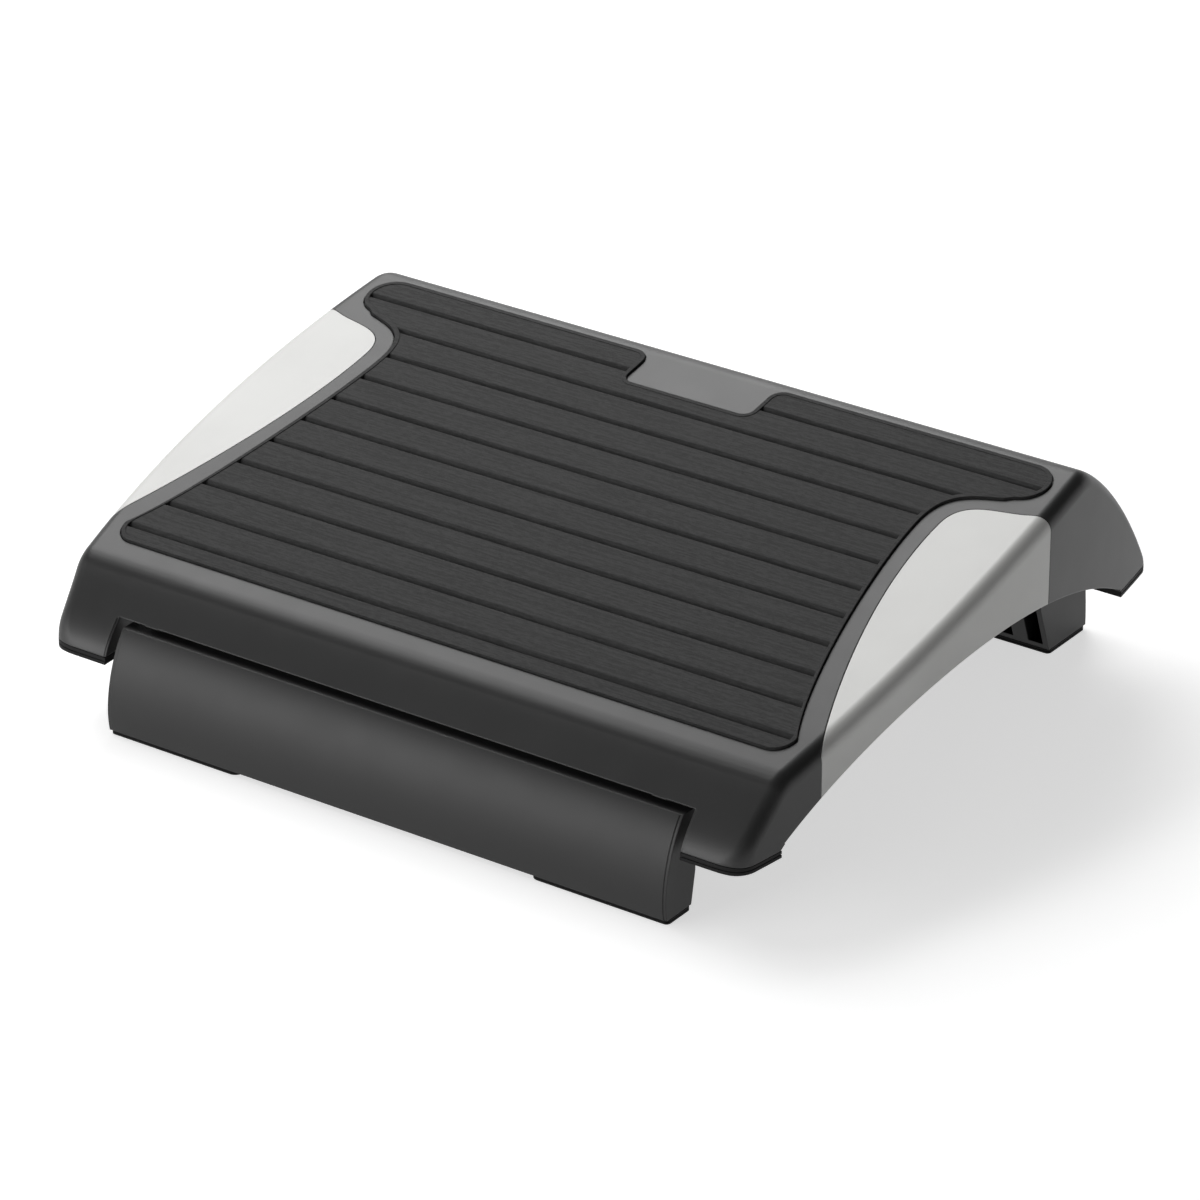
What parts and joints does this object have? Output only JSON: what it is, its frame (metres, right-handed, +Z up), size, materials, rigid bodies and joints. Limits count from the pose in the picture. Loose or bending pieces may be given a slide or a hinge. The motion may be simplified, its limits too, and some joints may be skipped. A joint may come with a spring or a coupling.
{
  "type": "tilting under desk footrest",
  "caption": "Sloping foot platform with a ribbed tread mat and silver side trims, standing on a front and a rear leg that fold under it to set its height and tilt.",
  "frame": {"origin": "on the floor under the middle of the footrest's outer size", "axes": "+X to the user's right along the width, +Y away from the user towards the high edge, +Z up"},
  "size_m": [0.452, 0.3839, 0.1377],
  "materials": {
    "black_plastic": "fine satin grain, charcoal black",
    "tread_rubber": "matt, with faint streaks along the grooves",
    "silver_plastic": "satin silver paint",
    "foot_rubber": "smooth black",
    "pin_steel": "bright zinc plated",
    "screw_steel": "zinc plated"
  },
  "bodies": {
    "platform": {"platform_shell": "black_plastic", "tread_mat": "tread_rubber", "side_trim_right": "silver_plastic", "side_trim_left": "silver_plastic", "trim_screw_1_right": "screw_steel", "trim_screw_1_left": "screw_steel", "trim_screw_2_right": "screw_steel", "trim_screw_2_left": "screw_steel", "trim_screw_3_right": "screw_steel", "trim_screw_3_left": "screw_steel", "front_corner_foot_right": "foot_rubber", "front_hinge_cap_right": "black_plastic", "front_cap_screw_1_right": "screw_steel", "front_cap_screw_2_right": "screw_steel", "front_corner_foot_left": "foot_rubber", "front_hinge_cap_left": "black_plastic", "front_cap_screw_1_left": "screw_steel", "front_cap_screw_2_left": "screw_steel", "rear_corner_foot_right": "foot_rubber", "rear_hinge_cap_right": "black_plastic", "rear_cap_screw_1_right": "screw_steel", "rear_cap_screw_2_right": "screw_steel", "rear_corner_foot_left": "foot_rubber", "rear_hinge_cap_left": "black_plastic", "rear_cap_screw_1_left": "screw_steel", "rear_cap_screw_2_left": "screw_steel"},
    "front_leg_body": {"front_leg": "black_plastic", "front_leg_sole_right": "foot_rubber", "front_leg_sole_left": "foot_rubber", "front_hinge_pin_right": "pin_steel", "front_hinge_pin_left": "pin_steel"},
    "rear_leg_body": {"rear_leg": "black_plastic", "rear_leg_sole_right": "foot_rubber", "rear_leg_sole_left": "foot_rubber", "rear_hinge_pin_right": "pin_steel", "rear_hinge_pin_left": "pin_steel"}
  },
  "joints": [
    {"name": "front_leg_fold", "type": "hinge", "parent": "platform", "child": "front_leg_body", "pos_m": [0, -0.1492, 0.06225], "axis": [1, 0, 0], "range_deg": [0, 100]},
    {"name": "rear_leg_fold", "type": "hinge", "parent": "platform", "child": "rear_leg_body", "pos_m": [0, 0.1526, 0.07631], "axis": [-1, 0, 0], "range_deg": [0, 100]}
  ]
}
